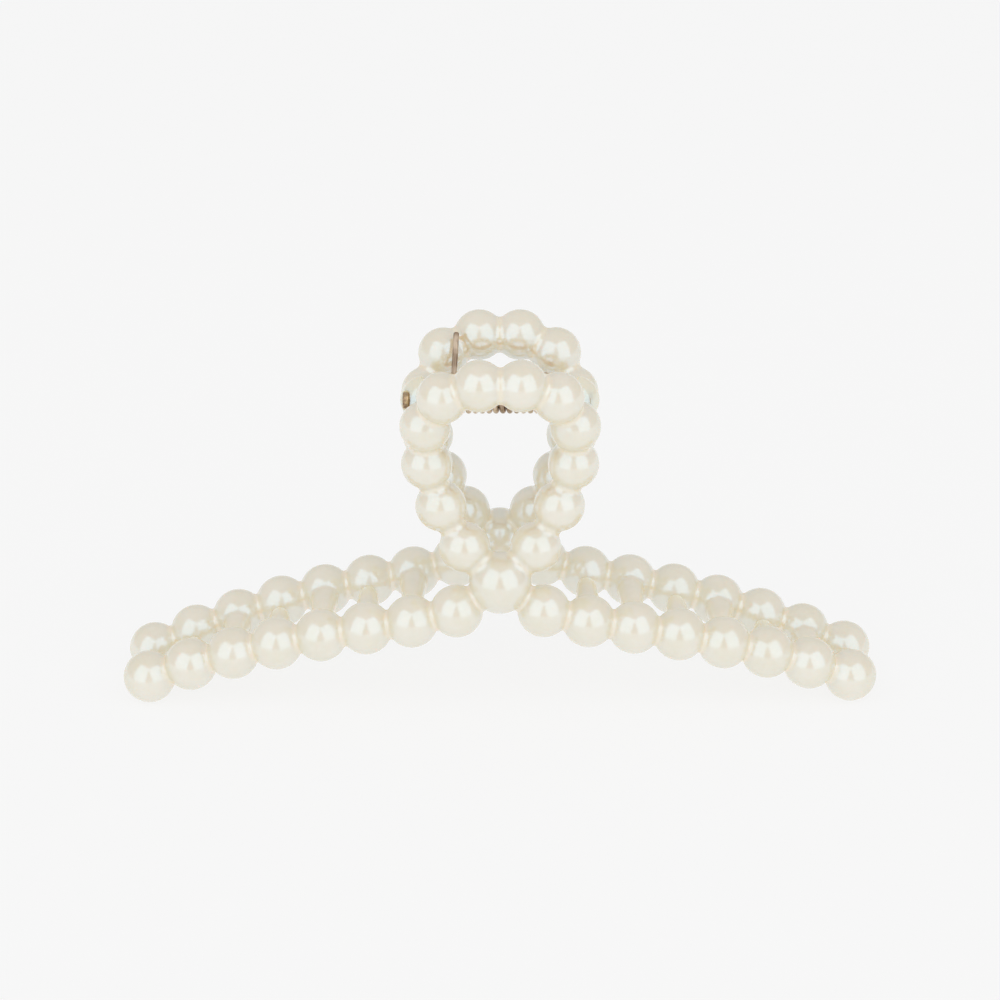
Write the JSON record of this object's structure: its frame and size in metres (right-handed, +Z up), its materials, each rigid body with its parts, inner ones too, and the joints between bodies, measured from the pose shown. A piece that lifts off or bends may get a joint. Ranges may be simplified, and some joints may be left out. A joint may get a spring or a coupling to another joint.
{
  "type": "hair claw clip",
  "caption": "Spring claw clip whose two jaws are bead chains: a finger loop above, two curved arms with teeth below.",
  "frame": {"origin": "on the ground under the middle of the closed clip, which stands on the beads at its arms' tips", "axes": "+X along the arms, +Y from the front jaw to the back jaw, +Z up to the finger loops"},
  "size_m": [0.1132, 0.027, 0.057],
  "materials": {
    "pearl_lacquer": "cream pearlescent lacquer on moulded plastic, satin",
    "spring_wire": "bronze-toned spring wire, drawn and plated",
    "pin_metal": "rolled brass tube, polished"
  },
  "bodies": {
    "back_jaw": {"back_jaw": "pearl_lacquer", "hinge_pin": "pin_metal", "torsion_spring": "spring_wire"},
    "front_jaw": {"front_jaw": "pearl_lacquer"}
  },
  "joints": [
    {"name": "jaw_hinge", "type": "hinge", "parent": "back_jaw", "child": "front_jaw", "pos_m": [0, 0, 0.0469], "axis": [-1, 0, 0], "range_deg": [0, 68], "stiffness_Nm_per_rad": 0.05, "springref_deg": -91.67, "deforming": ["torsion_spring"]}
  ]
}
